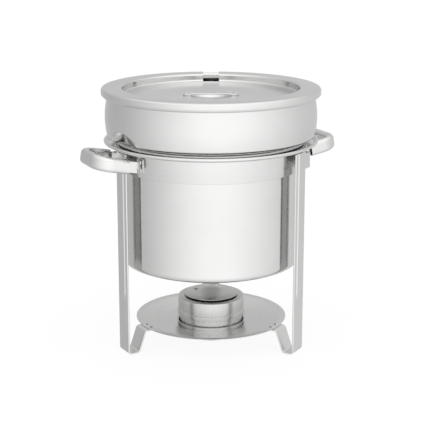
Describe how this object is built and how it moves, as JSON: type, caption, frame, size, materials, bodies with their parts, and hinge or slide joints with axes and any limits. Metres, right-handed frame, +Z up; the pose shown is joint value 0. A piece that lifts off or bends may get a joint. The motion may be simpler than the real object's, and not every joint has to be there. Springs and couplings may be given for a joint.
{
  "type": "soup kettle",
  "caption": "Buffet soup kettle: a round food pan with a notched lid sits in a water pan on a three-legged stand, over a tray with a fuel burner.",
  "frame": {"origin": "on the ground under the centre of the kettle, at the bottom centre of its bounding box", "axes": "+Z up; -Y is the front, which shows one leg on each side; +Y is the back, where the third leg and the lid's ladle notch are; +X to the right, seen from the front"},
  "size_m": [0.3378, 0.2886, 0.346],
  "materials": {
    "pan_steel": "satin spun stainless sheet",
    "lid_steel": "satin stainless sheet with a fine circular grain",
    "stand_steel": "satin stainless strip and sheet",
    "handle_steel": "polished stainless tube",
    "burner_steel": "vertically brushed stainless sheet",
    "rivet_steel": "plain stainless rivet heads"
  },
  "bodies": {
    "stand": {"stand_band": "stand_steel", "fuel_tray": "stand_steel", "leg_left": "stand_steel", "leg_right": "stand_steel", "leg_rear": "stand_steel", "leg_bracket_left": "stand_steel", "leg_bracket_right": "stand_steel", "leg_bracket_rear": "stand_steel", "leg_bracket_rivets": "rivet_steel", "tray_rivets": "rivet_steel", "handle_left": "handle_steel", "handle_right": "handle_steel", "handle_bracket_left_front": "stand_steel", "handle_bracket_left_back": "stand_steel", "handle_bracket_right_front": "stand_steel", "handle_bracket_right_back": "stand_steel", "handle_rivets": "rivet_steel"},
    "water_pan": {"water_pan": "pan_steel"},
    "food_pan": {"food_pan": "pan_steel"},
    "lid": {"lid": "lid_steel", "lid_handle": "lid_steel", "lid_handle_rivets": "rivet_steel"},
    "burner": {"burner_cup": "burner_steel"},
    "burner_cap": {"burner_cap": "burner_steel", "shutter_washer": "burner_steel", "shutter_rivet": "rivet_steel"},
    "shutter": {"burner_shutter": "burner_steel"}
  },
  "joints": [
    {"name": "water_pan_lift", "type": "slide", "parent": "stand", "child": "water_pan", "axis": [0, 0, 1], "range_m": [0, 0.18]},
    {"name": "food_pan_lift", "type": "slide", "parent": "water_pan", "child": "food_pan", "axis": [0, 0, 1], "range_m": [0, 0.17]},
    {"name": "lid_lift", "type": "slide", "parent": "food_pan", "child": "lid", "axis": [0, 0, 1], "range_m": [0, 0.1]},
    {"name": "burner_lift", "type": "slide", "parent": "stand", "child": "burner", "axis": [0, 0, 1], "range_m": [0, 0.02]},
    {"name": "burner_cap_lift", "type": "slide", "parent": "burner", "child": "burner_cap", "axis": [0, 0, 1], "range_m": [0, 0.0255]},
    {"name": "shutter_swing", "type": "hinge", "parent": "burner_cap", "child": "shutter", "pos_m": [-0.0207, 0.01471, 0.0621], "axis": [0, 0, 1], "range_deg": [0, 150]}
  ]
}
